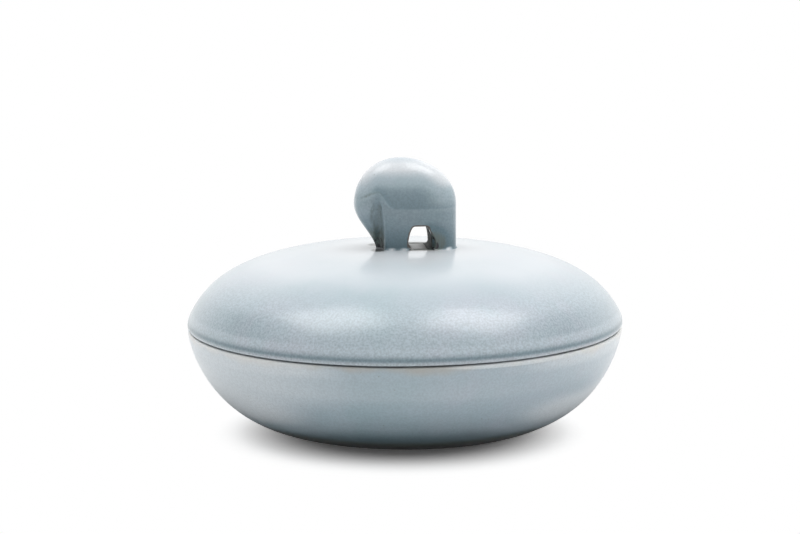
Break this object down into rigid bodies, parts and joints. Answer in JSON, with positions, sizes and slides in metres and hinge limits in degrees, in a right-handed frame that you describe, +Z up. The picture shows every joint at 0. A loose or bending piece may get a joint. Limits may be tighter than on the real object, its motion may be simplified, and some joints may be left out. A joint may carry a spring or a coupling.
{
  "type": "round ceramic box",
  "caption": "Round lidded stoneware box: low footed bowl, domed lid with a locating flange, and a small solid elephant as the knob.",
  "frame": {"origin": "centre of the foot ring, on the table", "axes": "+Z up along the axis of the bowl and lid, -X the way the elephant faces"},
  "size_m": [0.17, 0.17, 0.1081],
  "materials": {
    "bowl_glaze": "satin pale blue-grey glaze with fine speckle, bare foot ring and rim",
    "lid_glaze": "satin pale blue-grey glaze with fine speckle, bare seat and flange",
    "knob_glaze": "satin pale blue-grey glaze that breaks to brown on the carved edges"
  },
  "bodies": {
    "bowl": {"bowl": "bowl_glaze"},
    "lid": {"lid": "lid_glaze", "elephant_knob": "knob_glaze"}
  },
  "joints": [
    {"name": "lid_lift", "type": "slide", "parent": "bowl", "child": "lid", "axis": [0, 0, 1], "range_m": [0, 0.1]}
  ]
}
